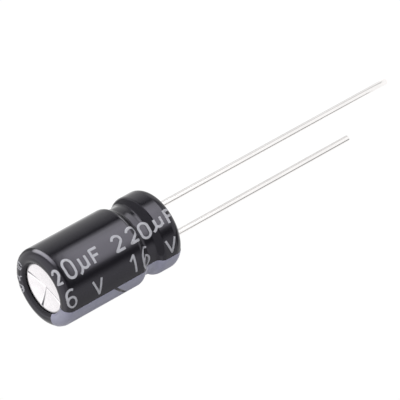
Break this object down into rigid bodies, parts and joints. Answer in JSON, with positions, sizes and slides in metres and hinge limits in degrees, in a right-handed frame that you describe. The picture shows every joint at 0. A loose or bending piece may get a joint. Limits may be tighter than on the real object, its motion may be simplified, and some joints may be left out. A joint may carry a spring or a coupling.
{
  "type": "electrolytic capacitor",
  "caption": "Radial aluminium electrolytic capacitor: sleeved, beaded round can with a vented end, a polarity stripe and straight tinned wire leads of unequal length.",
  "frame": {"origin": "on the seating plane, under the flat ring of the sleeve at the lead end, midway between the two leads", "axes": "+Z from the leads to the closed end of the can; +X from the negative lead to the positive lead; -X is the side with the polarity stripe"},
  "size_m": [0.0066, 0.0064, 0.0366],
  "materials": {
    "sleeve": "glossy black shrink film",
    "stripe_ink": "printed light lavender grey",
    "can": "bright drawn",
    "seal": "matt black",
    "tinned_wire": "bright tinned",
    "tab": "plain",
    "anode_foil": "etched matt grey",
    "cathode_foil": "etched light grey",
    "separator": "damp kraft paper",
    "tape": "brown film tape"
  },
  "bodies": {
    "root": {"sleeve": "sleeve", "polarity_stripe": "stripe_ink", "can": "can", "end_seal": "seal", "anode_lead": "tinned_wire", "cathode_lead": "tinned_wire", "anode_tab": "tab", "cathode_tab": "tab", "anode_foil": "anode_foil", "cathode_foil": "cathode_foil", "separator_inner": "separator", "separator_outer": "separator", "winding_tape": "tape"}
  },
  "joints": []
}
